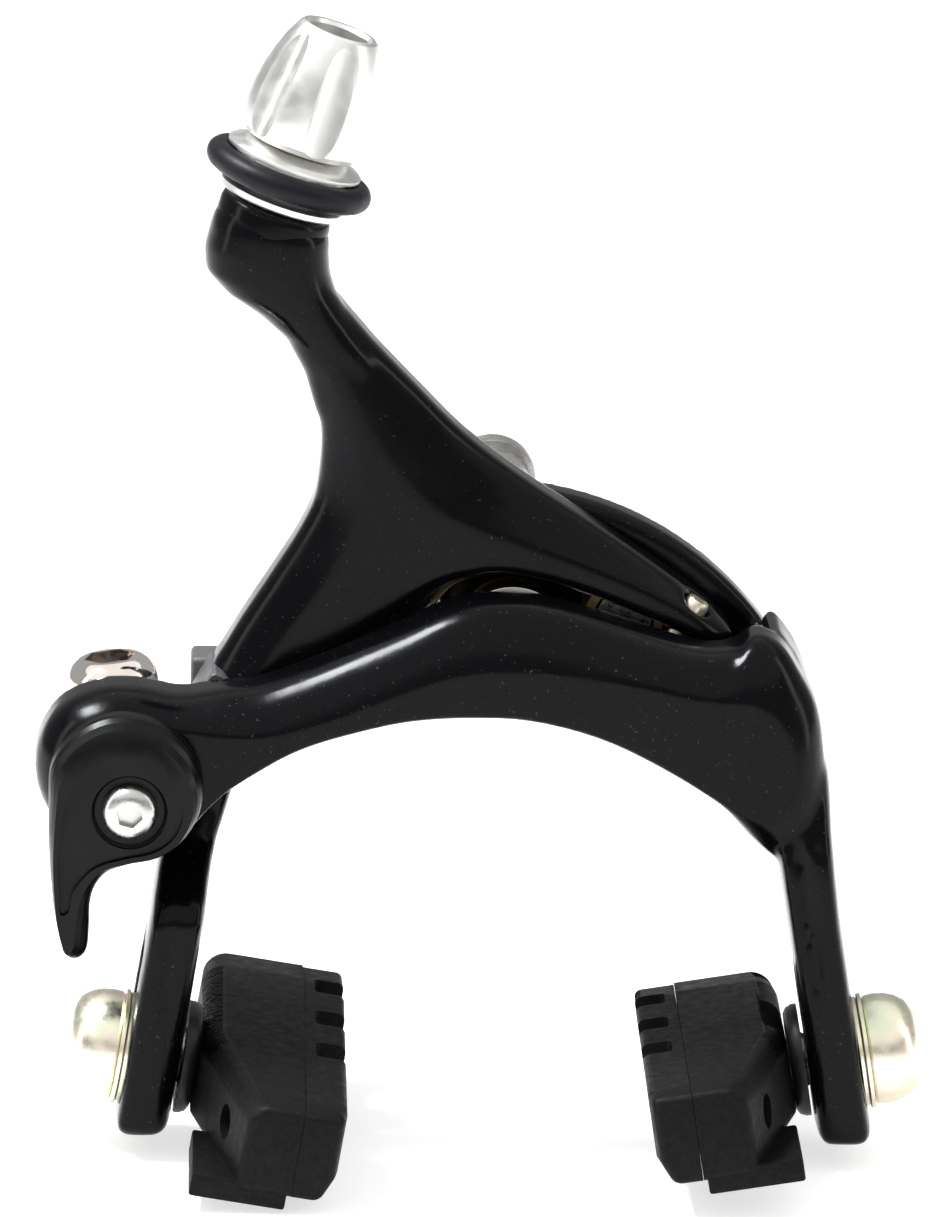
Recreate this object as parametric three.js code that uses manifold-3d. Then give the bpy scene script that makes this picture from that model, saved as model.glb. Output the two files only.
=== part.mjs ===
// Dual-pivot rim brake caliper for a road bicycle, in its open rest position.
// Millimetres. X points right in the front view, Y points back towards the frame, Z points up.
// The origin is on the centre bolt, at the rear face of the serrated washer.
import * as THREE from 'three';
import { mergeVertices } from 'three/addons/utils/BufferGeometryUtils.js';
import Module from 'manifold-3d';

const wasm = await Module();
wasm.setup();

// ---- driving dimensions ----
const gap = 0.3; // clearance between pieces that touch

// layers along the centre bolt, from the mounting face forwards
const serratedThick = 2.5;
const bracketThick = 4;
const rearWallThick = 4.8;
const webThick = 8.6;
const frontWallThick = 9.5;

// pivots
const journalRadius = 4; // centre bolt where the arms turn
const shankRadius = 3; // M6 thread behind the bracket
const boltReach = 42; // length of the threaded shank behind the mounting face
const sidePivot = { x: 12, z: 2.5, pin: 3, boss: 5.6, head: 4, headThick: 2 };
const pinFloor = 2; // thickness of the web left in front of the blind bore
const hubRadius = 7.2;
const bushWall = 1;
const hubWasher = { radius: 6.4, thick: 1.2 };

// fixing nut on the threaded shank
const nut = { sleeve: 4.3, sleeveLength: 21, flange: 5, flangeThick: 3.4, hex: 2.5, hexDepth: 4.5 };

// legs and brake pads
const legThick = 5.3;
const legWidth = 14;
const legJoin = { right: -23.5, left: -30 }; // height where a leg leaves its arm
const studDrop = { right: 44.5, left: 45.3 };
const studSpread = { right: 35.7, left: 37.6 };
const legTilt = { right: 9.6, left: 8.6 }; // degrees, feet outwards
const slotTravel = 10;
const studRadius = 3;
const pad = { length: 50, height: 10, body: 11, insert: 4.3, tilt: 2.5 };
// slanted face at the front end of the body, and the eyelet sunk in it
const padFacet = { side: 5.2, run: 20.5, eyelet: 1.9, eyeletDeep: 2.6, eyeletAt: 0.38, eyeletDrop: 0.4 };
const padLip = { drop: 1.6, length: 14, inset: 0.5 };
const groove = { count: 3, width: 4.4, depth: 2, pitch: 10.4, first: -4.5 };
const capNut = { radius: 5.85, skirt: 1.9, dome: 3.8 };
const plainWasher = { radius: 6.1, thick: 0.5 };
const seatWasher = { radius: 6, thick: 1.5 };

// quick release and cable anchor at the free end of the front arm
const endBoss = { x: -41.3, z: -13, radius: 9 };
const release = { x: -40.6, z: -15.6, radius: 8.3, thick: 5, shaft: 3.4, recess: 4.1 };
const releaseDisc = { x: -0.4, z: 2.3, face: 5.7 }; // disc of the lever, off its own pivot
const square = { lever: 4.4, shaft: 3.8 };
const recessDepth = 2.6;
const throwPin = { radius: 2.3, offset: 2.4, angle: 200 }; // off-centre pin, degrees clockwise from the top
const releaseHead = { radius: 2.8, thick: 1.7, hex: 1.4 };
const anchor = { radius: 5, width: 8.4, lean: -6, seat: 8.8, headHeight: 4.2, head: 4.95 };

// cable adjuster on top of the rear arm
const adjusterSeat = { x: -25.9, z: 46.9, tilt: 18 };
const stemBoss = { radius: 5.9, height: 8.6 };
const barrel = { radius: 6.6, length: 13.7, tip: 4.2, stem: 3, tail: 8.4, socket: 3.3, socketDepth: 8 };
const cableBore = 1.3;
const ringNut = { height: 6, plate: 6, flange: 7.4, neck: 4.8, seat: 6.1 };
const oRing = { section: 1.35, height: 3.4 };
const flute = { count: 6, radius: 3.2, lean: 9 };

// centring screw in the tail of the rear arm, and the return spring
const setScrew = { x: 19.9, z: 4.2, forward: 1.3, lean: 30, radius: 1.4, length: 8, hex: 0.8 };
const springWire = 1;
const clip = { width: 6, depth: 1.6 };

// ---- places worked out from the sizes ----
const rad = THREE.MathUtils.degToRad;
const deg = (angle) => (angle * 180) / Math.PI;
const bracketBack = -(serratedThick + gap);
const bracketFront = bracketBack - bracketThick;
const rearWallBack = bracketFront - gap;
const rearWallFront = rearWallBack - rearWallThick;
const webBack = rearWallFront - gap;
const webFront = webBack - webThick;
const webMiddle = (webBack + webFront) / 2;
const frontWallBack = webFront - gap;
const frontWallFront = frontWallBack - frontWallThick;
const legFront = frontWallFront;
const legBack = legFront + legWidth;
const studY = (legFront + legBack) / 2;
const slotHalf = studRadius + gap;
const bushOuter = sidePivot.pin + gap + bushWall;
const anchorMiddle = frontWallBack + gap + anchor.head + 0.2;
const pinX = throwPin.offset * Math.sin(rad(throwPin.angle));
const pinZ = throwPin.offset * Math.cos(rad(throwPin.angle));

// ---- solids ----

// closed solid from a geometry: shared vertices merged, collapsed triangles dropped, faces outwards
function solid(geometry) {
  const soup = geometry.index ? geometry.toNonIndexed() : geometry.clone();
  soup.deleteAttribute('normal');
  soup.deleteAttribute('uv');
  const merged = mergeVertices(soup, 1e-4);
  const place = merged.attributes.position.array;
  const index = merged.index.array;
  const corners = [];
  let volume = 0;
  for (let i = 0; i < index.length; i += 3) {
    const [a, b, c] = [index[i], index[i + 1], index[i + 2]];
    if (a === b || b === c || a === c) continue;
    corners.push(a, b, c);
    const [p, q, r] = [a, b, c].map((n) => new THREE.Vector3().fromArray(place, 3 * n));
    volume += p.dot(q.cross(r));
  }
  if (volume < 0) corners.reverse();
  const vertProperties = Float32Array.from(place);
  const triVerts = Uint32Array.from(corners);
  return new wasm.Manifold(new wasm.Mesh({ numProp: 3, vertProperties, triVerts }));
}

function join(first, ...rest) {
  return rest.reduce((sum, piece) => sum.add(piece), first);
}

function cut(first, ...rest) {
  return rest.reduce((sum, piece) => sum.subtract(piece), first);
}

// outline drawn in X and Z, made solid from yFront to yBack
function plate(shape, yFront, yBack, bevel = 0, steps = 4) {
  const options = { depth: yBack - yFront - 2 * bevel, curveSegments: steps, steps: 1 };
  options.bevelEnabled = bevel > 0;
  options.bevelThickness = bevel;
  options.bevelSize = bevel;
  options.bevelOffset = -bevel;
  options.bevelSegments = 2;
  const geometry = new THREE.ExtrudeGeometry(shape, options);
  geometry.rotateX(Math.PI / 2);
  geometry.translate(0, yBack - bevel, 0);
  return solid(geometry);
}

// outline drawn in Y and Z, made solid from xLow to xHigh
function sidePlate(shape, xLow, xHigh, steps = 4) {
  const options = { depth: xHigh - xLow, curveSegments: steps, bevelEnabled: false };
  const geometry = new THREE.ExtrudeGeometry(shape, options);
  geometry.rotateX(Math.PI / 2);
  geometry.rotateZ(Math.PI / 2);
  geometry.translate(xLow, 0, 0);
  return solid(geometry);
}

function loft(profile, sides) {
  return new THREE.LatheGeometry(profile.map(([r, h]) => new THREE.Vector2(r, h)), sides);
}

// turned piece about the Y axis through x, z; profile pairs are radius and y
function turnedY(profile, x = 0, z = 0, sides = 20) {
  return solid(loft(profile, sides).translate(x, 0, z));
}

function turnedZ(profile, sides = 20) {
  return solid(loft(profile, sides).rotateX(Math.PI / 2));
}

// turned piece about the X axis; profile pairs are radius and distance along X
function turnedX(profile, sides = 20) {
  return solid(loft(profile, sides).rotateZ(-Math.PI / 2));
}

function rod(radius, low, high) {
  return [[0, low], [radius, low], [radius, high], [0, high]];
}

function tube(inner, outer, low, high) {
  return [[inner, low], [outer, low], [outer, high], [inner, high], [inner, low]];
}

function box(x0, x1, y0, y1, z0, z1) {
  const geometry = new THREE.BoxGeometry(x1 - x0, y1 - y0, z1 - z0);
  return solid(geometry.translate((x0 + x1) / 2, (y0 + y1) / 2, (z0 + z1) / 2));
}

function hexY(radius, low, high, x = 0, z = 0) {
  return turnedY(rod(radius / Math.cos(Math.PI / 6), low, high), x, z, 6);
}

function points(...pairs) {
  return pairs.map(([x, z]) => new THREE.Vector2(x, z));
}

function stadium(width, low, high) {
  const shape = new THREE.Shape();
  shape.absarc(0, low, width, Math.PI, 0, false);
  shape.absarc(0, high, width, 0, Math.PI, false);
  return shape;
}

// ---- finishes ----
function finish(color, roughness, metalness) {
  return new THREE.MeshStandardMaterial({ color, roughness, metalness });
}
const blackPaint = finish(0x0c0c0e, 0.22, 0.1);
const blackPlastic = finish(0x2b2a2a, 0.5, 0);
const polished = finish(0xd8d8d6, 0.15, 1);
const zincYellow = finish(0xc9bb86, 0.28, 1);
const steel = finish(0x9c9a94, 0.35, 1);
const bronze = finish(0x9a7440, 0.4, 1);
const rubber = finish(0x161616, 0.75, 0);
const padRubber = finish(0x202020, 0.85, 0);

function node(name, body, material) {
  const data = body.getMesh();
  const geometry = new THREE.BufferGeometry();
  geometry.setAttribute('position', new THREE.BufferAttribute(data.vertProperties, 3));
  geometry.setIndex(new THREE.BufferAttribute(data.triVerts, 1));
  geometry.computeVertexNormals();
  const mesh = new THREE.Mesh(geometry, material);
  mesh.name = name;
  return mesh;
}

// ---- legs: each ends in a flat plate square to its stud, with a slot for the pad's height ----

// frame of a leg: origin on the stud at the leg's middle, local X outwards on the right side
function legFrame(side) {
  const key = side > 0 ? 'right' : 'left';
  const frame = new THREE.Group();
  frame.position.set(side * studSpread[key], studY, -studDrop[key]);
  frame.rotation.y = -side * rad(legTilt[key]);
  frame.updateMatrix();
  return frame;
}

// X of a leg's middle plane at height z
function legMiddle(side, z) {
  const key = side > 0 ? 'right' : 'left';
  return side * (studSpread[key] - (z + studDrop[key]) * Math.tan(rad(legTilt[key])));
}

function inFrame(body, frame) {
  return body.transform(frame.matrix.elements);
}

function footPlate(side) {
  const key = side > 0 ? 'right' : 'left';
  const top = (studDrop[key] + legJoin[key]) / Math.cos(rad(legTilt[key])) + 2;
  const shape = new THREE.Shape();
  const half = legWidth / 2;
  shape.absarc(0, -1, half, Math.PI, 0, false);
  shape.lineTo(half, top);
  shape.lineTo(-half, top);
  return inFrame(sidePlate(shape, -legThick / 2, legThick / 2, 10), legFrame(side));
}

function footSlot(side) {
  const shape = stadium(slotHalf, 0, slotTravel);
  return inFrame(sidePlate(shape, -legThick, legThick, 6), legFrame(side));
}

// ---- front arm: anchor end, arch, hub on the centre bolt, rear wall and right leg ----

function frontArmOutline() {
  const shape = new THREE.Shape();
  const { x, z, radius } = endBoss;
  const outer = legMiddle(1, legJoin.right) + legThick / 2;
  const inner = legMiddle(1, legJoin.right) - legThick / 2;
  shape.absarc(x, z, radius, rad(-41), rad(52), true);
  shape.splineThru(points([-24.3, -2.6], [-12.2, 2.7], [-6, 5.6], [-0.5, 6.5], [5.5, 5.7], [14, 3]));
  shape.splineThru(points([19.9, 1.3], [23.4, 1.2], [25.9, 3.2], [28.6, 2], [31.3, -2], [33.3, -9]));
  shape.splineThru(points([33.6, -15], [outer, legJoin.right]));
  shape.lineTo(inner, legJoin.right);
  shape.splineThru(points([26.6, -19.8], [21, -14.4], [11, -8.9], [1, -6.5], [-9, -6.6]));
  shape.splineThru(points([-18, -8.6], [-27, -12.6], [x + radius * 0.755, z - radius * 0.656]));
  return shape;
}

function rearWallOutline() {
  const shape = new THREE.Shape();
  const outer = legMiddle(1, legJoin.right) + legThick / 2;
  const inner = legMiddle(1, legJoin.right) - legThick / 2;
  const top = endBoss.radius + 28;
  shape.absarc(-2, -22, top, rad(96), rad(17), true);
  shape.splineThru(points([34, -15], [outer, legJoin.right]));
  shape.lineTo(inner, legJoin.right);
  shape.splineThru(points([26.6, -19.8], [21, -14.4], [11, -8.9]));
  shape.splineThru(points([3, -hubRadius + 0.3], [-4, -5.8], [-hubRadius, 0], [-7.4, 8]));
  return shape;
}

// the piece between the walls: slot floor under the centring screw, and the top of the leg
function bridgeOutline() {
  const shape = new THREE.Shape();
  const outer = legMiddle(1, legJoin.right) + legThick / 2;
  const inner = legMiddle(1, legJoin.right) - legThick / 2;
  shape.moveTo(14.6, -10.6);
  shape.lineTo(14.6, -4);
  shape.lineTo(21, -4);
  shape.splineThru(points([25.6, -2.4], [27.4, 1.6], [28.6, 1.9], [31.3, -2], [33.3, -9]));
  shape.splineThru(points([33.6, -15], [outer, legJoin.right]));
  shape.lineTo(inner, legJoin.right);
  shape.splineThru(points([26.6, -19.8], [21, -14.4], [14.6, -10.6]));
  return shape;
}

// side view of the right leg, wide at the walls and narrow at the foot
function rightLegSide() {
  const shape = new THREE.Shape();
  shape.moveTo(legFront, 20);
  shape.lineTo(rearWallBack, 20);
  shape.lineTo(rearWallBack, -7);
  shape.splineThru(points([rearWallBack - 1.4, -12], [legBack + 3, -19], [legBack, legJoin.right]));
  shape.lineTo(legBack, legJoin.right - 6);
  shape.lineTo(legFront, legJoin.right - 6);
  return shape;
}

function pinWindow() {
  const reach = Math.hypot(sidePivot.x, sidePivot.z);
  const start = Math.atan2(sidePivot.z, sidePivot.x);
  const half = sidePivot.pin + 2 * gap;
  const swing = rad(10);
  const shape = new THREE.Shape();
  const [from, to] = [start - rad(1.5), start + swing + rad(1.5)];
  shape.absarc(0, 0, reach + half, from, to, false);
  const [ex, ez] = [reach * Math.cos(to), reach * Math.sin(to)];
  shape.absarc(ex, ez, half, to, to + Math.PI, false);
  shape.absarc(0, 0, reach - half, to, from, true);
  const [sx, sz] = [reach * Math.cos(from), reach * Math.sin(from)];
  shape.absarc(sx, sz, half, from + Math.PI, from + 2 * Math.PI, false);
  return plate(shape, rearWallFront - 1, rearWallBack + 1, 0, 8);
}

function frontArm() {
  const front = plate(frontArmOutline(), frontWallFront, frontWallBack, 1.2, 2);
  const rear = plate(rearWallOutline(), rearWallFront, rearWallBack, 0, 3);
  const bridge = plate(bridgeOutline(), frontWallBack - 1, rearWallFront + 1, 0, 2);
  const upper = join(front, rear, bridge).intersect(sidePlate(rightLegSide(), -60, 60));
  const body = join(upper, footPlate(1));
  const blind = turnedY(rod(journalRadius + gap, frontWallFront + 3, rearWallBack + 1));
  const bore = rod(release.shaft + gap, frontWallFront - 1, frontWallBack + 1);
  const shaft = turnedY(bore, release.x, release.z);
  return cut(body, blind, shaft, pinWindow(), footSlot(1));
}

// ---- rear arm: adjuster boss, stem, tail over the hub, left shoulder and left leg ----

function rearArmOutline() {
  const shape = new THREE.Shape();
  const inner = legMiddle(-1, legJoin.left) + legThick / 2;
  const outer = legMiddle(-1, legJoin.left) - legThick / 2;
  const relief = hubWasher.radius + 2;
  shape.moveTo(-31.2, 38.6);
  shape.splineThru(points([-27.6, 36], [-24.2, 32.6], [-22, 27.4], [-20.8, 20.5], [-21.6, 14.6]));
  shape.splineThru(points([-25.8, 6.5], [-30.8, -2], [-33.6, -7.6], [-35.2, -16], [outer, legJoin.left]));
  shape.lineTo(inner, legJoin.left);
  shape.splineThru(points([inner + 1, -22], [-27.6, -14], [-17, -4], [-8.8, 2.4]));
  shape.absarc(0, 0, relief, rad(165), rad(50), true);
  shape.splineThru(points([9.3, 5.2], [14.7, 3], [18.5, 1.4], [22.3, -0.8], [24.1, -0.2], [23.4, 1.2]));
  shape.splineThru(points([20.2, 4.3], [14.7, 8.3], [1.6, 16.6], [-8, 24.6], [-15.3, 31.8], [-18.8, 37]));
  shape.lineTo(-20.6, 43);
  return shape;
}

function leftLegSide() {
  const shape = new THREE.Shape();
  const foot = legJoin.left - 1;
  const step = endBoss.z - endBoss.radius + 0.9; // the leg comes forward below the front arm's boss
  shape.moveTo(webFront, 60);
  shape.lineTo(webFront, step);
  shape.splineThru(points([webFront - 2.6, step - 1.6], [legFront + 1.4, step - 4.4], [legFront, foot + 1]));
  shape.lineTo(legFront, foot);
  shape.lineTo(legBack, foot);
  shape.splineThru(points([legBack + 1, foot + 5], [webBack - 1.5, -17], [webBack, -7]));
  shape.lineTo(webBack, 60);
  return shape;
}

function adjusterFrame() {
  const frame = new THREE.Group();
  frame.position.set(adjusterSeat.x, webMiddle, adjusterSeat.z);
  frame.rotation.y = rad(adjusterSeat.tilt);
  frame.updateMatrix();
  return frame;
}

function screwFrame() {
  const frame = new THREE.Group();
  frame.position.set(setScrew.x, webMiddle - setScrew.forward, setScrew.z);
  frame.rotation.y = rad(setScrew.lean);
  frame.updateMatrix();
  return frame;
}

function rearArm() {
  const web = plate(rearArmOutline(), legFront, webBack, 0, 3).intersect(sidePlate(leftLegSide(), -60, 60));
  const pivotBoss = turnedY(rod(sidePivot.boss, webFront + 1, webBack), sidePivot.x, sidePivot.z);
  const boss = inFrame(turnedZ(rod(stemBoss.radius, -stemBoss.height, 0)), adjusterFrame());
  const body = join(web, pivotBoss, boss, footPlate(-1));
  const bore = inFrame(turnedZ(rod(barrel.stem + gap, -20, 5)), adjusterFrame());
  const pivotBore = turnedY(rod(bushOuter + gap, webFront + pinFloor, webBack + 1), sidePivot.x, sidePivot.z);
  const screwBore = inFrame(turnedZ(rod(setScrew.radius + gap, -setScrew.length - 4, 3), 20), screwFrame());
  return cut(body, bore, pivotBore, screwBore, footSlot(-1));
}

// ---- fixed pieces on the centre bolt ----

function pivotBracket() {
  const shape = new THREE.Shape();
  const turn = Math.atan2(sidePivot.z, sidePivot.x);
  shape.absarc(0, 0, hubRadius + 0.6, turn + Math.PI / 2, turn + 1.5 * Math.PI, false);
  shape.absarc(sidePivot.x, sidePivot.z, hubRadius - 0.8, turn - Math.PI / 2, turn + Math.PI / 2, false);
  const body = plate(shape, bracketFront, bracketBack, 0, 8);
  const centre = turnedY(rod(journalRadius + gap, bracketFront - 1, bracketBack + 1));
  const side = turnedY(rod(sidePivot.pin + gap, bracketFront - 1, bracketBack + 1), sidePivot.x, sidePivot.z);
  return cut(body, centre, side);
}

function serratedWasher() {
  const teeth = 16;
  const body = turnedY(tube(shankRadius + gap, hubRadius, -serratedThick, 0));
  const notches = [];
  for (let i = 0; i < teeth; i += 1) {
    const geometry = new THREE.BoxGeometry(1.6, 0.7, 0.7).translate(hubRadius, 0, 0);
    notches.push(solid(geometry.rotateY((i * 2 * Math.PI) / teeth)));
  }
  return cut(body, ...notches);
}

function centreBolt() {
  const front = frontWallFront + 3 + gap;
  return turnedY([
    [0, front], [journalRadius - 0.6, front], [journalRadius, front + 0.6], [journalRadius, bracketBack],
    [shankRadius, bracketBack], [shankRadius, boltReach - 0.8], [shankRadius - 0.8, boltReach],
    [0, boltReach],
  ]);
}

function fixingNut() {
  const end = boltReach + 7;
  const start = end - nut.sleeveLength;
  const body = turnedY([
    [shankRadius + gap, start], [nut.sleeve, start], [nut.sleeve, end], [nut.flange, end],
    [nut.flange, end + nut.flangeThick - 0.6], [nut.flange - 0.6, end + nut.flangeThick],
    [0, end + nut.flangeThick], [0, end - 1.6], [shankRadius + gap, end - 1.6], [shankRadius + gap, start],
  ]);
  const back = end + nut.flangeThick;
  return cut(body, hexY(nut.hex, back - nut.hexDepth, back + 1));
}

// side pivot pin: hexagon head behind the bracket, plain end blind in the rear arm's bush
function sidePivotPin() {
  const front = webFront + pinFloor + gap;
  const { x, z, pin, head, headThick } = sidePivot;
  const shank = turnedY(rod(pin, front, bracketBack + 1), x, z);
  return join(shank, hexY(head, bracketBack + gap, bracketBack + gap + headThick, x, z));
}

// spring: a wire held under the bracket, with a limb that pushes each arm open
function springRoute() {
  const low = -(hubRadius + 0.6 + springWire + clip.depth + 2 * gap);
  const y = (bracketBack + bracketFront) / 2;
  return new THREE.CatmullRomCurve3([
    new THREE.Vector3(-30.5, webBack + 3.4, -9.5),
    new THREE.Vector3(-20, y - 0.6, low + 0.6),
    new THREE.Vector3(-7, y, low),
    new THREE.Vector3(7, y, low),
    new THREE.Vector3(17, y, low - 2),
    new THREE.Vector3(26.5, y - 0.4, -19.5),
  ]);
}

function tubeAlong(curve, radius, steps, sides) {
  const section = new THREE.Shape();
  for (let i = 0; i < sides; i += 1) {
    const turn = (i * 2 * Math.PI) / sides;
    const [x, y] = [radius * Math.cos(turn), radius * Math.sin(turn)];
    if (i === 0) section.moveTo(x, y);
    else section.lineTo(x, y);
  }
  return solid(new THREE.ExtrudeGeometry(section, { steps, extrudePath: curve, bevelEnabled: false }));
}

function springClip() {
  const low = -(hubRadius + 0.6 + gap);
  const bottom = low - clip.depth - 2 * springWire - gap;
  const body = box(-clip.width, clip.width, bracketFront + 0.4, bracketBack - 0.4, bottom - 1.2, low);
  const hubCut = turnedY(rod(hubRadius + 0.6 + gap, bracketFront - 1, bracketBack + 1));
  return cut(body, hubCut, tubeAlong(springRoute(), springWire + gap, 26, 8));
}

// plastic shoe on the left shoulder, behind the web, that the left limb bears on
function leftSpringGuide() {
  const shape = new THREE.Shape();
  shape.moveTo(-28.6, -12);
  shape.lineTo(-28.6, -4.5);
  shape.splineThru(points([-30.2, -2.4], [-32.6, -4.4], [-34, -8], [-34.2, -12]));
  const body = plate(shape, webBack + gap, webBack + 6.2, 0.5, 4);
  const slot = tubeAlong(springRoute(), springWire + gap, 26, 8);
  return cut(body, slot);
}

function rightSpringGuide() {
  const y = rearWallBack + gap;
  const body = box(24.2, 29.6, y, y + 4.8, -21.6, -15.4);
  return cut(body, tubeAlong(springRoute(), springWire + gap, 26, 8));
}

// ---- quick release ----

function releaseLever() {
  const front = frontWallFront - gap - release.thick;
  const back = frontWallFront - gap;
  const { x, z, face } = releaseDisc;
  const disc = turnedY([
    [0, front], [face, front], [release.radius - 1.2, front + 1.6],
    [release.radius, back - 1.6], [release.radius, back], [0, back],
  ], x, z, 28);
  const hook = new THREE.Shape();
  hook.moveTo(x - release.radius, z);
  hook.splineThru(points([-8.6, -5.9], [-7.5, -12.3], [-5.8, -16.3], [-4.6, -16.4], [-4.3, -13.6]));
  hook.splineThru(points([-4.1, -9.1], [-2.6, -6.7], [0.4, -5.3]));
  hook.lineTo(0.4, 0);
  const arm = plate(hook, front, back - 0.4, 0.5, 3);
  const recess = turnedY(rod(release.recess, front - 1, front + recessDepth));
  const half = square.lever / 2;
  const opening = box(-half, half, front, back + 1, -half, half);
  return cut(join(disc, arm), recess, opening);
}

// shaft through the arm: square end in the lever, round in the boss, crank and off-centre pin behind
function releaseShaft() {
  const front = frontWallFront - gap - release.thick + recessDepth + 2 * gap;
  const back = frontWallFront - gap;
  const half = square.shaft / 2;
  const drive = box(-half, half, front, back + 1, -half, half);
  const crankFront = frontWallBack + gap;
  const shaft = turnedY(rod(release.shaft, back + gap, crankFront + 0.3));
  const crank = turnedY(rod(throwPin.offset + throwPin.radius + 0.2, crankFront, crankFront + 0.6));
  const pinEnd = anchorMiddle + anchor.width / 2 + gap + 1.4;
  const pin = turnedY(rod(throwPin.radius, crankFront, pinEnd), pinX, pinZ);
  const thread = turnedY(rod(1.2, front - 1, front + 6), 0, 0, 16);
  return cut(join(drive, shaft, crank, pin), thread);
}

function releaseScrew() {
  const seat = frontWallFront - gap - release.thick + recessDepth - 0.1;
  const { radius, thick, hex } = releaseHead;
  const head = turnedY([
    [0, seat - thick], [radius * 0.55, seat - thick], [radius * 0.9, seat - thick * 0.62],
    [radius, seat - 0.3], [radius, seat], [0, seat],
  ], 0, 0, 24);
  const stem = turnedY(rod(0.9, seat - 0.5, seat + 6), 0, 0, 16);
  return cut(join(head, stem), hexY(hex, seat - thick - 1, seat - 0.5));
}

// ---- cable anchor, on the off-centre pin ----

function anchorBlock() {
  const back = anchor.width / 2;
  const barrelPart = turnedY(rod(anchor.radius, -back, back));
  const post = box(-anchor.radius + 0.5, anchor.radius - 0.5, -back, back, 0, anchor.seat);
  const bore = turnedY(rod(throwPin.radius + gap, -back - 1, back + 1));
  const thread = turnedZ(rod(2.5 + gap, 2.9, anchor.seat + 1));
  return cut(join(barrelPart, post), bore, thread);
}

function anchorWasher() {
  const low = anchor.seat + gap;
  return turnedZ(tube(2.5 + gap, anchor.head - 0.4, low, low + 0.9));
}

function anchorBolt() {
  const low = anchor.seat + 2 * gap + 0.9;
  const top = low + anchor.headHeight;
  const { head } = anchor;
  const body = turnedZ([
    [0, 3.2], [2.5, 3.2], [2.5, low], [head, low], [head, low + 1.6], [head - 0.7, top - 1.5],
    [head - 1.9, top - 0.3], [head - 2.6, top], [0, top],
  ]);
  const socket = turnedZ(rod(2.5 / Math.cos(Math.PI / 6), top - 3, top + 1), 6);
  return cut(body, socket);
}

function anchorClip() {
  return turnedY(tube(throwPin.radius + 0.2, throwPin.radius + 1.6, 0, 0.8));
}

// ---- cable adjuster, in the frame of its own axis ----

function adjusterBarrel() {
  const low = ringNut.height + gap;
  const high = low + barrel.length;
  const profile = [[0, -barrel.tail], [barrel.stem, -barrel.tail], [barrel.stem, low]];
  profile.push([barrel.radius - 0.5, low]);
  const steps = 5;
  for (let i = 0; i <= steps; i += 1) {
    const part = i / steps;
    const radius = barrel.tip + (barrel.radius - barrel.tip) * Math.cos((part * Math.PI) / 2) ** 0.8;
    profile.push([radius, low + 0.5 + part * (barrel.length - 1)]);
  }
  profile.push([barrel.tip - 0.4, high], [0, high]);
  const body = turnedZ(profile, 24);
  const flutes = [];
  for (let i = 0; i < flute.count; i += 1) {
    const far = barrel.radius + flute.radius - 0.9;
    const geometry = new THREE.CylinderGeometry(flute.radius, flute.radius, 2 * barrel.length, 16);
    geometry.rotateX(Math.PI / 2).translate(0, 0, barrel.length * 0.6);
    geometry.rotateY(-rad(flute.lean)).translate(far, 0, low);
    flutes.push(solid(geometry.rotateZ(((i + 0.5) * 2 * Math.PI) / flute.count)));
  }
  const socket = turnedZ(rod(barrel.socket, high - barrel.socketDepth, high + 1), 20);
  const bore = turnedZ(rod(cableBore, -barrel.tail - 1, high), 10);
  return cut(body, ...flutes, socket, bore);
}

function adjusterRingNut() {
  const { height, plate: foot, flange, neck, seat } = ringNut;
  const mid = oRing.height;
  return turnedZ([
    [barrel.stem + gap, gap], [foot, gap], [foot, gap + 0.9], [neck, gap + 1.2], [neck, mid - 1.2],
    [seat, mid - 0.9], [seat, mid + 0.9], [flange, mid + 1.5], [flange, height - 0.4],
    [flange - 0.6, height], [barrel.stem + gap, height - 0.5], [barrel.stem + gap, gap],
  ], 24);
}

function adjusterRubber() {
  const profile = [];
  const sides = 8;
  const major = ringNut.seat + gap + oRing.section;
  for (let i = 0; i <= sides; i += 1) {
    const turn = ((i % sides) * 2 * Math.PI) / sides;
    profile.push([major + oRing.section * Math.cos(turn), oRing.height + oRing.section * Math.sin(turn)]);
  }
  return turnedZ(profile, 28);
}

function centringScrew() {
  const body = turnedZ(rod(setScrew.radius, -setScrew.length, -0.2), 20);
  return cut(body, turnedZ(rod(setScrew.hex / Math.cos(Math.PI / 6), -2, 1), 6));
}

// ---- brake pad set, in the frame of a leg; side is 1 on the right and -1 on the left ----

// side view of a pad, square at the front end and rounded at the rear
function padOutline(end, top) {
  const shape = new THREE.Shape();
  shape.moveTo(-end, -top);
  shape.lineTo(end - 2, -top);
  shape.splineThru(points([end - 0.4, -top + 1.6], [end, 0], [end - 0.6, top - 1.8], [end - 3, top]));
  shape.lineTo(-end + 1, top);
  shape.lineTo(-end, top - 1);
  return shape;
}

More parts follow.
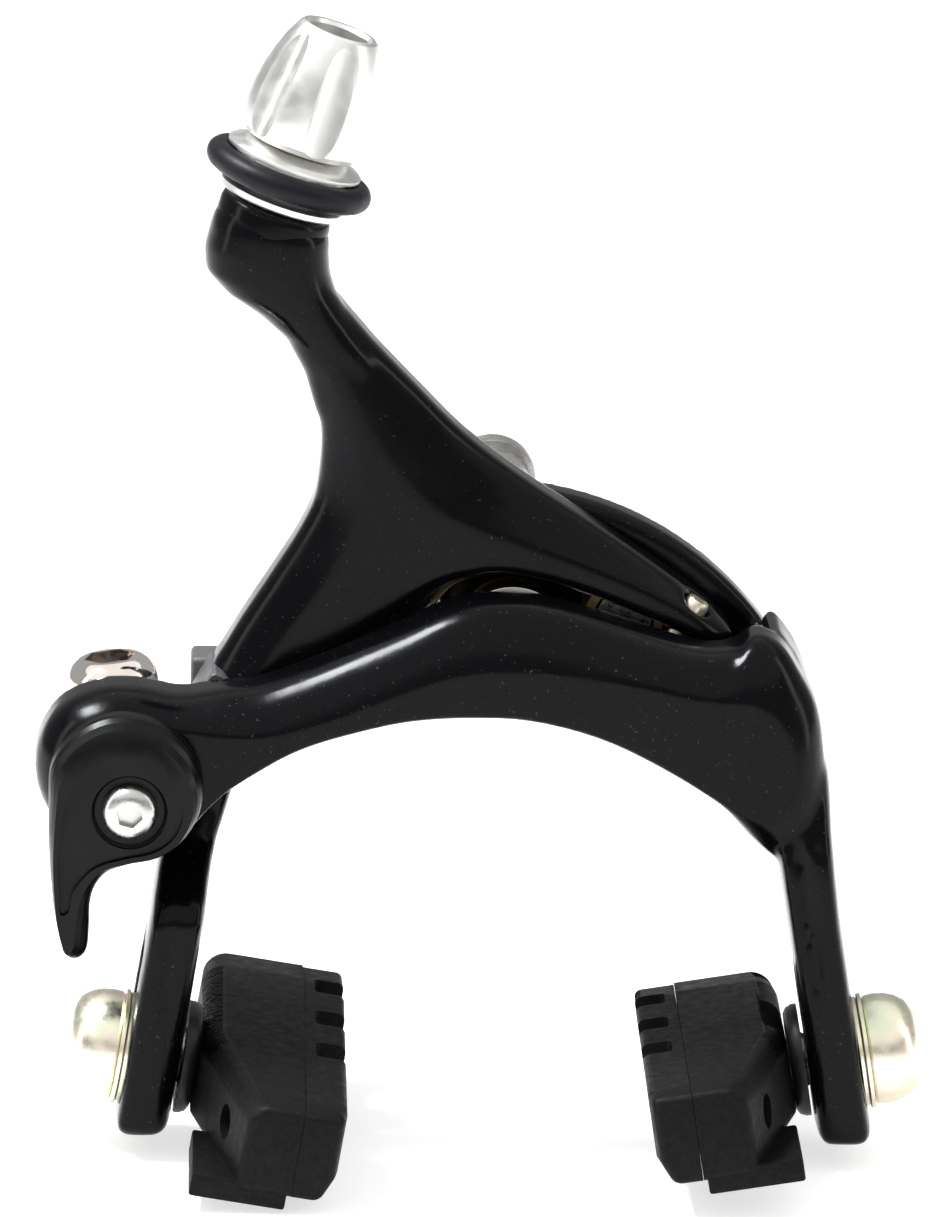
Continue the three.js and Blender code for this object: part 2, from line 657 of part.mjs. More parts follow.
function padSet(side) {
  const label = side > 0 ? 'right' : 'left';
  const half = legThick / 2;
  const washerA = half + gap;
  const washerB = washerA + plainWasher.thick + gap;
  const nutBase = washerB + plainWasher.thick + gap;
  const seat = half + gap;
  const bodyFace = seat + seatWasher.thick + gap;
  const seam = bodyFace + pad.body;
  const brake = seam + gap + pad.insert;
  const top = pad.height / 2;
  const end = pad.length / 2;
  const mirror = (body) => (side > 0 ? body : body.scale([-1, 1, 1]));

  const capProfile = [[0, nutBase + capNut.skirt - 0.4], [studRadius + gap, nutBase + capNut.skirt - 0.4]];
  capProfile.push([studRadius + gap, nutBase], [capNut.radius, nutBase]);
  const steps = 5;
  for (let i = 0; i < steps; i += 1) {
    const turn = (i / steps) * (Math.PI / 2);
    const height = nutBase + capNut.skirt + capNut.dome * Math.sin(turn);
    capProfile.push([capNut.radius * Math.cos(turn) ** 0.8, height]);
  }
  capProfile.push([0, nutBase + capNut.skirt + capNut.dome]);
  const cap = turnedX(capProfile);

  const studOut = nutBase + capNut.skirt - 0.4 - gap;
  const studIn = -(bodyFace + pad.body * 0.55);
  const stud = turnedX(rod(studRadius, studIn, studOut));

  // body: a block with its ends eased, a hollow for the stud and a small hole in the front facet
  const whole = sidePlate(padOutline(end, top), -seam, -bodyFace, 4);
  const slant = deg(Math.atan2(padFacet.side, padFacet.run));
  const middle = [-bodyFace - padFacet.side / 2, -end + padFacet.run / 2, 0];
  const wedge = box(0, pad.body, -end, end, -end, end).rotate([0, 0, -slant]).translate(middle);
  const eyelet = turnedX(rod(padFacet.eyelet, -padFacet.eyeletDeep, 2), 18).rotate([0, 0, -slant]);
  const along = padFacet.eyeletAt;
  const depth = -bodyFace - padFacet.side * (1 - along);
  const eyeletHole = eyelet.translate([depth, -end + padFacet.run * along, -padFacet.eyeletDrop]);
  const studBore = turnedX(rod(studRadius + gap, studIn - gap, 0));
  const { drop, length, inset } = padLip;
  const lip = box(-seam + inset, -bodyFace - inset, -end + inset, -end + length, -top - drop, -top + 1);
  const bodySolid = cut(join(cut(whole, wedge), lip), eyeletHole, studBore);

  const cuts = [];
  for (let i = 0; i < groove.count; i += 1) {
    const y = groove.first + i * groove.pitch - groove.width / 2;
    cuts.push(box(-brake - 1, -brake + groove.depth, y, y + groove.width, -top - 1, top + 1));
  }
  const insertSolid = cut(sidePlate(padOutline(end, top), -brake, -seam - gap, 4), ...cuts);

  const frame = legFrame(side);
  const swivel = new THREE.Group();
  swivel.rotation.x = rad(side > 0 ? -pad.tilt : pad.tilt);
  const washer = (low, size) => turnedX(tube(studRadius + gap, size.radius, low, low + size.thick));
  swivel.add(node(`${label}_pad_body`, mirror(bodySolid), padRubber));
  swivel.add(node(`${label}_friction_insert`, mirror(insertSolid), rubber));
  swivel.add(node(`${label}_pad_stud`, mirror(stud), steel));
  frame.add(node(`${label}_dome_nut`, mirror(cap), zincYellow));
  frame.add(node(`${label}_outer_washer`, mirror(washer(washerB, plainWasher)), zincYellow));
  frame.add(node(`${label}_lock_washer`, mirror(washer(washerA, plainWasher)), zincYellow));
  frame.add(node(`${label}_seat_washer`, mirror(washer(-seat - seatWasher.thick, seatWasher)), steel));
  frame.add(swivel);
  return frame;
}

// ---- assembly ----

const caliper = new THREE.Group();

caliper.add(node('centre_bolt', centreBolt(), steel));
caliper.add(node('pivot_bracket', pivotBracket(), steel));
caliper.add(node('serrated_washer', serratedWasher(), steel));
caliper.add(node('fixing_nut', fixingNut(), steel));
caliper.add(node('side_pivot_pin', sidePivotPin(), steel));
caliper.add(node('return_spring', tubeAlong(springRoute(), springWire, 26, 8), steel));
caliper.add(node('spring_clip', springClip(), blackPlastic));

const washerBack = frontWallBack + gap + hubWasher.thick;
const washerSolid = turnedY(tube(journalRadius + gap, hubWasher.radius, frontWallBack + gap, washerBack));
caliper.add(node('hub_washer', washerSolid, zincYellow));
const spacerSolid = turnedY(tube(journalRadius + gap, journalRadius + 1.3, washerBack + gap, webBack));
caliper.add(node('hub_spacer', spacerSolid, bronze));

caliper.add(node('c_arm', frontArm(), blackPaint));
caliper.add(node('c_arm_spring_guide', rightSpringGuide(), blackPlastic));

caliper.add(node('y_arm', rearArm(), blackPaint));
const bushFront = webFront + pinFloor + gap;
const bushSolid = turnedY(tube(sidePivot.pin + gap, bushOuter, bushFront, webBack), sidePivot.x, sidePivot.z);
caliper.add(node('y_arm_bush', bushSolid, bronze));
caliper.add(node('y_arm_spring_guide', leftSpringGuide(), blackPlastic));
const screwHome = screwFrame();
screwHome.add(node('centring_screw', centringScrew(), zincYellow));
caliper.add(screwHome);

const adjuster = adjusterFrame();
adjuster.add(node('adjuster_barrel', adjusterBarrel(), polished));
adjuster.add(node('adjuster_ring_nut', adjusterRingNut(), polished));
adjuster.add(node('adjuster_o_ring', adjusterRubber(), rubber));
caliper.add(adjuster);

const releaseSet = new THREE.Group();
releaseSet.position.set(release.x, 0, release.z);
releaseSet.add(node('quick_release_lever', releaseLever(), blackPaint));
releaseSet.add(node('quick_release_cam', releaseShaft(), steel));
releaseSet.add(node('quick_release_screw', releaseScrew(), polished));

const anchorSet = new THREE.Group();
anchorSet.position.set(pinX, anchorMiddle, pinZ);
anchorSet.rotation.y = rad(anchor.lean);
anchorSet.add(node('anchor_block', anchorBlock(), steel));
anchorSet.add(node('anchor_washer', anchorWasher(), steel));
anchorSet.add(node('anchor_bolt', anchorBolt(), polished));
const clipMesh = node('anchor_clip', anchorClip(), steel);
clipMesh.position.y = anchor.width / 2 + gap;
anchorSet.add(clipMesh);
releaseSet.add(anchorSet);
caliper.add(releaseSet);

caliper.add(padSet(-1));
caliper.add(padSet(1));

export default caliper;
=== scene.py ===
import math
import bmesh
import bpy
from mathutils import Matrix, Vector, geometry


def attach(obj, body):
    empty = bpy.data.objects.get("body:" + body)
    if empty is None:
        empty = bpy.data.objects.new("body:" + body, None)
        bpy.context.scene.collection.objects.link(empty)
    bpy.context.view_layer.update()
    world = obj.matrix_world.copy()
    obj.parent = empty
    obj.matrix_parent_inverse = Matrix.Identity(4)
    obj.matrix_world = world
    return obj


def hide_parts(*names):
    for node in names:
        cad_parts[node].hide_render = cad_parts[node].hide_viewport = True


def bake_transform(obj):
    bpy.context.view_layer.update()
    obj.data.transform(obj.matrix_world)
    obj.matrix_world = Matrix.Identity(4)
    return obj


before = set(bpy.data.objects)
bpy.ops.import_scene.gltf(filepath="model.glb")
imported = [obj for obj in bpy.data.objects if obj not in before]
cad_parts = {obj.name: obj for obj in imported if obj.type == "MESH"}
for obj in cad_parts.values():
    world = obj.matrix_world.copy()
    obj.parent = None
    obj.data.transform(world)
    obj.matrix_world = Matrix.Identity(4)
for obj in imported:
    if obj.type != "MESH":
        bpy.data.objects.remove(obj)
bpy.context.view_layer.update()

mm = 0.001


# small helpers for measuring and placing, all in millimetres until a piece is finished

def at(x, y, z):
    return Matrix.Translation((x, y, z))


def turn(degrees, axis):
    return Matrix.Rotation(math.radians(degrees), 4, axis)


def blank():
    return bmesh.new()


def finishPiece(name, bm, look, body, stands=(), smoothAngle=35, heal=True, place=None):
    if place is not None:
        bmesh.ops.transform(bm, matrix=place, verts=bm.verts)
    if heal:
        bmesh.ops.remove_doubles(bm, verts=bm.verts, dist=0.001)
    bmesh.ops.recalc_face_normals(bm, faces=bm.faces)
    bmesh.ops.scale(bm, vec=(mm, mm, mm), verts=bm.verts)
    mesh = bpy.data.meshes.new(name)
    bm.to_mesh(mesh)
    bm.free()
    piece = bpy.data.objects.new(name, mesh)
    bpy.context.scene.collection.objects.link(piece)
    piece.data.materials.append(look)
    if smoothAngle:
        mesh.polygons.foreach_set("use_smooth", [True] * len(mesh.polygons))
        mesh.set_sharp_from_angle(angle=math.radians(smoothAngle))
    if body:
        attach(piece, body)
    if stands:
        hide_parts(*stands)
    return piece


def roundEdges(piece, width, segments=3, angle=30):
    edge = piece.modifiers.new("edges", "BEVEL")
    edge.width = width * mm
    edge.segments = segments
    edge.limit_method = "ANGLE"
    edge.angle_limit = math.radians(angle)
    edge.harden_normals = True
    return piece


def lathe(profile, steps=48, place=None):
    # profile of (radius, height) spun about the local Z axis
    bm = blank()
    made = [bm.verts.new((radius, 0, height)) for radius, height in profile]
    lines = [bm.edges.new(pair) for pair in zip(made, made[1:])]
    bmesh.ops.spin(bm, geom=made + lines, cent=(0, 0, 0), axis=(0, 0, 1), dvec=(0, 0, 0),
                   angle=math.tau, steps=steps, use_merge=True, use_duplicate=False)
    bmesh.ops.remove_doubles(bm, verts=bm.verts, dist=0.002)
    bmesh.ops.recalc_face_normals(bm, faces=bm.faces)
    if place is not None:
        bmesh.ops.transform(bm, matrix=place, verts=bm.verts)
    return bm


def copyOf(node):
    # the frame's own mesh, merged and in millimetres
    bm = blank()
    bm.from_mesh(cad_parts[node].data)
    bmesh.ops.remove_doubles(bm, verts=bm.verts, dist=1e-6)
    bmesh.ops.scale(bm, vec=(1000, 1000, 1000), verts=bm.verts)
    bmesh.ops.dissolve_limit(bm, angle_limit=math.radians(1), verts=bm.verts, edges=bm.edges)
    return bm


def keepSide(bm, point, normal):
    # cuts with a plane and keeps what the normal points to
    geom = bm.verts[:] + bm.edges[:] + bm.faces[:]
    cut = bmesh.ops.bisect_plane(bm, geom=geom, plane_co=point, plane_no=normal, clear_inner=True)
    edges = [e for e in cut["geom_cut"] if isinstance(e, bmesh.types.BMEdge)]
    bmesh.ops.holes_fill(bm, edges=edges, sides=0)
    return bm


def joined(first, *others):
    # several bodies in one mesh, each left closed
    for other in others:
        spare = bpy.data.meshes.new("spare")
        other.to_mesh(spare)
        other.free()
        first.from_mesh(spare)
        bpy.data.meshes.remove(spare)
    return first


# looks: every finish is built from nodes on Object coordinates


def look(name, slotName, colour, rough, metal=0.0, level=0.5):
    material = bpy.data.materials.new(name)
    material.use_nodes = True
    shader = material.node_tree.nodes["Principled BSDF"]
    shader.inputs["Base Color"].default_value = (*colour, 1)
    shader.inputs["Roughness"].default_value = rough
    shader.inputs["Metallic"].default_value = metal
    shader.inputs["Specular IOR Level"].default_value = level
    return material


def addNode(material, kind, **values):
    made = material.node_tree.nodes.new(kind)
    for key, value in values.items():
        if key in made.inputs:
            made.inputs[key].default_value = value
        else:
            setattr(made, key, value)
    return made


def link(material, start, end):
    material.node_tree.links.new(start, end)


def objectPlace(material):
    return addNode(material, "ShaderNodeTexCoord").outputs["Object"]


def noise(material, vector, scale, detail=3.0, rough=0.5):
    made = addNode(material, "ShaderNodeTexNoise", Scale=scale, Detail=detail, Roughness=rough)
    link(material, vector, made.inputs["Vector"])
    return made.outputs["Fac"]


def steps(material, fac, low, high, lowColour, highColour):
    ramp = addNode(material, "ShaderNodeValToRGB")
    ramp.color_ramp.elements[0].position = low
    ramp.color_ramp.elements[1].position = high
    ramp.color_ramp.elements[0].color = (*lowColour, 1)
    ramp.color_ramp.elements[1].color = (*highColour, 1)
    link(material, fac, ramp.inputs["Fac"])
    return ramp.outputs["Color"]


def grey(value):
    return (value, value, value)


def vary(material, socket, fac, low, high, lowValue, highValue):
    shader = material.node_tree.nodes["Principled BSDF"]
    lowColour = lowValue if isinstance(lowValue, tuple) else grey(lowValue)
    highColour = highValue if isinstance(highValue, tuple) else grey(highValue)
    link(material, steps(material, fac, low, high, lowColour, highColour), shader.inputs[socket])


def relief(material, *layers):
    # each layer is (height, distance in metres, strength)
    shader = material.node_tree.nodes["Principled BSDF"]
    normal = None
    for fac, distance, strength in layers:
        bump = addNode(material, "ShaderNodeBump", Distance=distance, Strength=strength)
        link(material, fac, bump.inputs["Height"])
        if normal is not None:
            link(material, normal, bump.inputs["Normal"])
        normal = bump.outputs["Normal"]
    link(material, normal, shader.inputs["Normal"])


def paintLook():
    # gloss black paint on a forging: slight orange peel, thin dust specks
    m = look("forgedPaint", "black_paint", (0.0012, 0.0012, 0.0015), 0.2, level=0.11)
    v = objectPlace(m)
    vary(m, "Roughness", noise(m, v, 160), 0.35, 0.7, 0.16, 0.24)
    vary(m, "Base Color", noise(m, v, 2600, 1.0), 0.72, 0.78, (0.0015, 0.0015, 0.002), (0.03, 0.03, 0.032))
    relief(m, (noise(m, v, 260, 2.0), 0.00012, 0.25), (noise(m, v, 1500, 2.0), 0.00002, 0.2))
    return m


def leverLook():
    m = look("leverPaint", "black_paint", (0.002, 0.002, 0.002), 0.3, level=0.16)
    v = objectPlace(m)
    vary(m, "Roughness", noise(m, v, 300), 0.3, 0.7, 0.26, 0.4)
    relief(m, (noise(m, v, 900, 3.0), 0.00003, 0.3))
    return m


def plasticLook():
    m = look("satinPlastic", "black_plastic", (0.006, 0.006, 0.007), 0.42, level=0.3)
    v = objectPlace(m)
    vary(m, "Roughness", noise(m, v, 400), 0.3, 0.7, 0.36, 0.5)
    relief(m, (noise(m, v, 1800, 3.0), 0.00003, 0.4))
    return m


def shoulderPaintedLightLook():
    # painted light: black plastic given a lighter grey base so the cover looks lit
    m = look("shoulderPlasticPaintedLight", "black_plastic", (0.07, 0.07, 0.07), 0.42, level=0.5)
    v = objectPlace(m)
    vary(m, "Roughness", noise(m, v, 400), 0.3, 0.7, 0.42, 0.55)
    relief(m, (noise(m, v, 1600, 3.0), 0.00004, 0.4))
    return m


def polishedLook():
    m = look("polishedAlloy", "polished_metal", (0.8, 0.79, 0.76), 0.36, metal=1.0)
    v = objectPlace(m)
    vary(m, "Roughness", noise(m, v, 500), 0.35, 0.7, 0.3, 0.42)
    vary(m, "Base Color", noise(m, v, 90), 0.35, 0.7, (0.7, 0.695, 0.67), (0.8, 0.79, 0.77))
    relief(m, (noise(m, v, 700, 2.0), 0.00002, 0.2))
    return m


def chromeLook():
    m = look("warmChrome", "warm_chrome", (0.82, 0.76, 0.7), 0.09, metal=1.0)
    v = objectPlace(m)
    vary(m, "Roughness", noise(m, v, 600), 0.35, 0.7, 0.06, 0.14)
    vary(m, "Base Color", noise(m, v, 220), 0.35, 0.7, (0.78, 0.7, 0.64), (0.86, 0.83, 0.8))
    return m


def zincLook():
    # yellow passivated zinc with its faint green and pink tints
    m = look("yellowZinc", "yellow_zinc", (0.72, 0.66, 0.46), 0.3, metal=1.0)
    v = objectPlace(m)
    fac = noise(m, v, 170, 2.0)
    ramp = addNode(m, "ShaderNodeValToRGB")
    ramp.color_ramp.elements[0].position = 0.3
    ramp.color_ramp.elements[1].position = 0.72
    ramp.color_ramp.elements[0].color = (0.7, 0.74, 0.56, 1)
    ramp.color_ramp.elements[1].color = (0.82, 0.7, 0.62, 1)
    middle = ramp.color_ramp.elements.new(0.5)
    middle.color = (0.84, 0.8, 0.62, 1)
    link(m, fac, ramp.inputs["Fac"])
    link(m, ramp.outputs["Color"], m.node_tree.nodes["Principled BSDF"].inputs["Base Color"])
    vary(m, "Roughness", noise(m, v, 900), 0.3, 0.7, 0.24, 0.4)
    relief(m, (noise(m, v, 2500, 2.0), 0.00002, 0.3))
    return m


def steelLook():
    m = look("plainSteel", "steel", (0.56, 0.55, 0.53), 0.27, metal=1.0)
    v = objectPlace(m)
    vary(m, "Roughness", noise(m, v, 700), 0.3, 0.7, 0.2, 0.38)
    vary(m, "Base Color", noise(m, v, 200), 0.35, 0.7, (0.5, 0.49, 0.47), (0.62, 0.61, 0.59))
    relief(m, (noise(m, v, 2200, 2.0), 0.00002, 0.25))
    return m


def bronzeLook():
    m = look("bushBronze", "bronze", (0.42, 0.28, 0.14), 0.4, metal=1.0)
    v = objectPlace(m)
    vary(m, "Roughness", noise(m, v, 900), 0.3, 0.7, 0.34, 0.5)
    return m


def rubberLook():
    m = look("ringRubber", "rubber", (0.003, 0.003, 0.005), 0.42, level=0.2)
    v = objectPlace(m)
    vary(m, "Roughness", noise(m, v, 500), 0.3, 0.7, 0.38, 0.55)
    relief(m, (noise(m, v, 1400, 3.0), 0.00004, 0.35))
    return m


def padLook():
    # matte moulded rubber with a little chalky dust
    m = look("padRubber", "pad_rubber", (0.003, 0.003, 0.0034), 0.6, level=0.13)
    v = objectPlace(m)
    dust = noise(m, v, 2400, 4.0, 0.7)
    vary(m, "Base Color", dust, 0.4, 0.85, (0.0016, 0.0016, 0.002), (0.008, 0.008, 0.008))
    vary(m, "Roughness", noise(m, v, 900), 0.3, 0.7, 0.5, 0.66)
    relief(m, (noise(m, v, 1800, 4.0), 0.00006, 0.5), (noise(m, v, 300, 2.0), 0.0001, 0.2))
    return m


paint, leverPaint, plastic, shoulder = paintLook(), leverLook(), plasticLook(), shoulderPaintedLightLook()
polished, chrome, zinc, steel = polishedLook(), chromeLook(), zincLook(), steelLook()
bronze, rubber, padRubber = bronzeLook(), rubberLook(), padLook()

nodeLooks = {
    "steel": steel, "polished_metal": polished, "warm_chrome": chrome, "yellow_zinc": zinc,
    "black_paint": paint, "black_plastic": plastic, "bronze": bronze, "rubber": rubber,
    "pad_rubber": padRubber,
}
for nodeName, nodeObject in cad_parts.items():
    for held in nodeObject.material_slots:
        base = held.material.name if held.material else "steel"
        held.material = next((nodeLooks[key] for key in nodeLooks if base.startswith(key)), steel)
print("looks done:", len(nodeLooks))


# front arm: the sculpted front of the C-shaped forging, and its rear walls from the frame

def lineThrough(points, per=4):
    # a closed smooth line through a few points of the outline
    count, made = len(points), []
    for k in range(count):
        before, start, end, after = (Vector(points[(k + j) % count]) for j in (-1, 0, 1, 2))
        reach = (end - start).length / 3
        made += geometry.interpolate_bezier(start, start + (end - before).normalized() * reach,
                                            end - (after - start).normalized() * reach, end, per + 1)[:-1]
    return made


def raised(rings):
    # a face on the first ring, extruded from ring to ring
    bm = blank()
    face = bm.faces.new([bm.verts.new(point) for point in rings[0]])
    for k, ring in enumerate(rings[1:]):
        made = bmesh.ops.extrude_face_region(bm, geom=[face], use_keep_orig=k == 0)
        face = next(item for item in made["geom"] if isinstance(item, bmesh.types.BMFace))
        for vert, point in zip(face.verts, ring):
            vert.co = point
    return bm, face


def forged(rim, crease, back, shoulder, front, sweep=60, rise=5, soft=0.4, per=4):
    # a flat plate whose edge rolls from the rim, at the shoulder, to the crease, at the front
    outer, inner = lineThrough(rim, per), lineThrough(crease, per)
    rings = [[(x, back, z) for x, z in outer]]
    for k in range(rise + 1):
        angle = math.radians(sweep * k / rise)
        part = (1 - math.cos(angle)) / (1 - math.cos(math.radians(sweep)))
        depth = shoulder + (front - shoulder) * math.sin(angle) / math.sin(math.radians(sweep))
        line = [a + (b - a) * part for a, b in zip(outer, inner)]
        rings.append([(point.x, depth, point.y) for point in line])
    bm, face = raised(rings)
    bmesh.ops.inset_region(bm, faces=[face], thickness=soft, use_even_offset=True)
    return bm


def asPart(bm, levels=0):
    # a mesh with its subdivision applied, ready to be joined or cut
    mesh = bpy.data.meshes.new("work")
    bmesh.ops.recalc_face_normals(bm, faces=bm.faces)
    bm.to_mesh(mesh)
    bm.free()
    work = bpy.data.objects.new("work", mesh)
    bpy.context.scene.collection.objects.link(work)
    if levels:
        soft = work.modifiers.new("surface", "SUBSURF")
        soft.levels = soft.render_levels = levels
    return work


def applied(work):
    graph = bpy.context.evaluated_depsgraph_get()
    mesh = bpy.data.meshes.new_from_object(work.evaluated_get(graph))
    bm = blank()
    bm.from_mesh(mesh)
    bpy.data.meshes.remove(mesh)
    old = work.data
    bpy.data.objects.remove(work)
    bpy.data.meshes.remove(old)
    return bm


def carved(bm, *cutters, levels=0, how="DIFFERENCE"):
    work = asPart(bm, levels)
    tools = [asPart(cutter) for cutter in cutters]
    for tool in tools:
        cut = work.modifiers.new("cut", "BOOLEAN")
        cut.object, cut.operation, cut.solver = tool, how, "EXACT"
    result = applied(work)
    for tool in tools:
        old = tool.data
        bpy.data.objects.remove(tool)
        bpy.data.meshes.remove(old)
    return result


def fused(bm, voxel, rounds):
    # overlapping bodies grown into one skin, with the meeting lines softened
    work = asPart(bm)
    skin = work.modifiers.new("skin", "REMESH")
    skin.mode, skin.voxel_size, skin.use_smooth_shade = "VOXEL", voxel, True
    ease = work.modifiers.new("ease", "SMOOTH")
    ease.factor, ease.iterations = 0.5, rounds
    return applied(work)


def rod(radius, low, high, steps=32, place=None):
    return lathe([(0, low), (radius, low), (radius, high), (0, high)], steps, place)


def block(x0, x1, y0, y1, z0, z1, place=None):
    bm = blank()
    size = Matrix.Diagonal((x1 - x0, y1 - y0, z1 - z0, 1))
    bmesh.ops.create_cube(bm, size=1, matrix=at((x0 + x1) / 2, (y0 + y1) / 2, (z0 + z1) / 2) @ size)
    if place is not None:
        bmesh.ops.transform(bm, matrix=place, verts=bm.verts)
    return bm


def softened(bm, width, segments=3, angle=30, seam=None):
    # edges that lie on the seam stay sharp
    edges = [e for e in bm.edges if len(e.link_faces) == 2 and e.calc_face_angle(0) > math.radians(angle)
             and (seam is None or any(abs(v.co.x - seam) > 0.01 for v in e.verts))]
    bmesh.ops.bevel(bm, geom=edges, offset=width, offset_type="OFFSET", affect="EDGES", segments=segments,
                    profile=0.5, material=-1, clamp_overlap=True)
    return bm


toFront = turn(-90, "X")  # local Z becomes +Y
toSide = turn(90, "Y")  # local Z becomes +X

cArm = {
    "back": -21.1, "shoulder": -25.6, "front": -30.6,
    "rim": [(-46.5, -20.8), (-50.0, -16.3), (-50.7, -11.0), (-48.4, -6.4), (-44, -4.2), (-39.7, -4.0),
            (-35.4, -4.7), (-31, -4.1), (-27.5, -3.7), (-24, -2.5), (-18.5, -0.2), (-12.2, 2.7), (-6, 5.6),
            (-0.5, 6.2), (5, 5.5), (13.4, 3), (19.5, 1.3), (23.4, 1.4), (25.9, 2.9), (28.6, 1.7),
            (30.8, -1.4), (32.7, -5.2), (33.6, -10.6), (34.0, -15.5), (33.2, -19.5), (30.2, -22.2),
            (26.6, -20.0), (22.3, -15.3), (15.7, -11.3), (9.3, -8.3), (1.8, -6.5), (-4.6, -6.3),
            (-11, -6.8), (-17.3, -8.3), (-22.6, -10.1), (-26.8, -12.4), (-31.5, -15.5), (-34.6, -19.3),
            (-37.8, -21.9), (-42, -22.5)],
    "crease": [(-45.0, -18.8), (-47.4, -15.2), (-47.8, -11.4), (-46.0, -8.3), (-43, -6.9), (-39.7, -6.8),
               (-35.4, -7.3), (-31.2, -7.9), (-27.9, -8), (-23.8, -7.3), (-18, -5.4), (-11.8, -2.8),
               (-5.8, -0.8), (0, -0.3), (6, -0.6), (13, -1.6), (18.8, -2.8), (21.8, -3.2), (24.2, -3.3),
               (26.6, -3.9), (28.6, -5.6), (30.1, -8.7), (30.7, -11.6), (30.4, -14), (29.3, -15.9),
               (27.6, -16.8), (25.6, -16.4), (22.0, -14.3), (15.5, -10.4), (9.1, -7.5), (1.8, -5.7),
               (-4.6, -5.5), (-10.9, -6.0), (-17.1, -7.5), (-22.4, -9.3), (-26.5, -11.6), (-31.0, -14.9),
               (-34.2, -18.4), (-37.6, -20.5), (-41.6, -20.8)],
    # the rear wall: front, back and the arc of its upper edge
    "rearWall": (-11.9, -7.1), "rearCentre": (-2, -22), "rearRadius": 37, "rearArc": (96, 16, -8),
    "rearRest": [(34.6, -15.5), (35.0, -23), (32.5, -24.6), (29.2, -23), (26.4, -19.6), (21, -14.4), (11, -8.9),
                 (3, -7.1), (-4, -6.2), (-7.3, 0), (-7.6, 8)],
    "shaft": (-40.6, -15.6), "shaftRadius": 3.7, "journalRadius": 4.3,
    # bridge between the walls: front, back and lowest height
    "bridge": (-21.0, -12.0, -24), "skin": (0.45, 7),
    # each level of the leg: height, inner and outer side, front, back, depth of its channel
    "leg": [(-9, 26.8, 33.9, -28.0, -16.8, 0), (-14, 27.6, 34.4, -28.6, -16.7, 0),
            (-18.5, 28.4, 34.7, -29.8, -16.6, 0), (-20.4, 28.7, 34.9, -30.6, -16.5, 1.6),
            (-23, 29.1, 35.2, -30.9, -16.5, 1.5), (-29, 30.15, 36.0, -31.0, -16.5, 1.4),
            (-34, 31.0, 36.9, -31.0, -16.5, 0.9), (-37.5, 31.5, 37.5, -31.0, -16.5, 0.1),
            (-42, 32.3, 38.4, -31.0, -16.5, 0), (-51.4, 33.9, 39.9, -31.0, -16.5, 0),
            (-53.2, 34.3, 40.0, -30.4, -17.2, 0)],
}


def leg(levels, channelAt):
    # a bar with eased corners and a channel down its front, level by level
    rings = []
    for height, near, far, front, back, channel in levels:
        side = 1 if far > near else -1
        wide = abs(far - near)
        lane = [near + side * wide * part for part in channelAt]
        rings.append([
            (near + side * 0.7, front, height), (lane[0], front, height), (lane[1], front + channel, height),
            (lane[2], front, height), (far - side * 1.0, front, height), (far, front + 1.1, height),
            (far, back - 1.1, height), (far - side * 1.0, back, height), (near + side * 1.0, back, height),
            (near, back - 1.1, height), (near, front + 1.0, height)])
    return raised(rings)[0]


def legPlace(side, spread, drop, lean):
    # frame of one pad stud; local X runs out along the stud
    return at(side * spread, -23.6, -drop) @ turn(-side * lean, "Y")


rightLeg = legPlace(1, 35.7, 44.5, 9.6)
leftLeg = legPlace(-1, 37.6, 45.3, 8.6)


def slotCutter(place, radius=3.25, travel=10):
    # the long hole that the pad stud slides in
    bm = rod(radius, -8, 8, 24, toSide)
    bmesh.ops.translate(bm, vec=(0, 0, travel), verts=[v for v in bm.verts if v.co.z > 0.01])
    bmesh.ops.transform(bm, matrix=place, verts=bm.verts)
    return bm


def makeFrontArm():
    front = forged(cArm["rim"], cArm["crease"], cArm["back"], cArm["shoulder"], cArm["front"], sweep=62)
    x, z = cArm["shaft"]
    front = carved(front, rod(cArm["shaftRadius"], -40, 0, 40, at(x, 0, z) @ toFront))
    legPart = carved(leg(cArm["leg"], (0.2, 0.36, 0.52)), slotCutter(rightLeg), levels=2)
    bridgeFront, bridgeBack, bridgeLow = cArm["bridge"]
    bridge = keepSide(copyOf("c_arm"), (0, bridgeFront, 0), (0, 1, 0))
    bridge = keepSide(bridge, (0, bridgeBack, 0), (0, -1, 0))
    bridge = keepSide(bridge, (0, 0, bridgeLow), (0, 0, 1))
    x, z = cArm["rearCentre"]
    radius = cArm["rearRadius"]
    arc = [math.radians(angle) for angle in range(*cArm["rearArc"])]
    wall = [(x + radius * math.cos(a), z + radius * math.sin(a)) for a in arc] + cArm["rearRest"]
    inner = [(a * 0.97 + x * 0.03, b * 0.97 + z * 0.03) for a, b in wall]
    wallFront, wallBack = cArm["rearWall"]
    rear = forged(wall, inner, wallBack, wallFront + 1.1, wallFront, sweep=70, soft=0.3)
    rear = carved(rear, rod(cArm["journalRadius"], -20, 0, 40, toFront))
    skin = fused(joined(front, legPart, rear, bridge), *cArm["skin"])
    return finishPiece("frontArmForging", skin, paint, "front_arm", ["c_arm"], smoothAngle=60)


# rear arm: ridge and bands of the Y-shaped forging, its boss and its leg

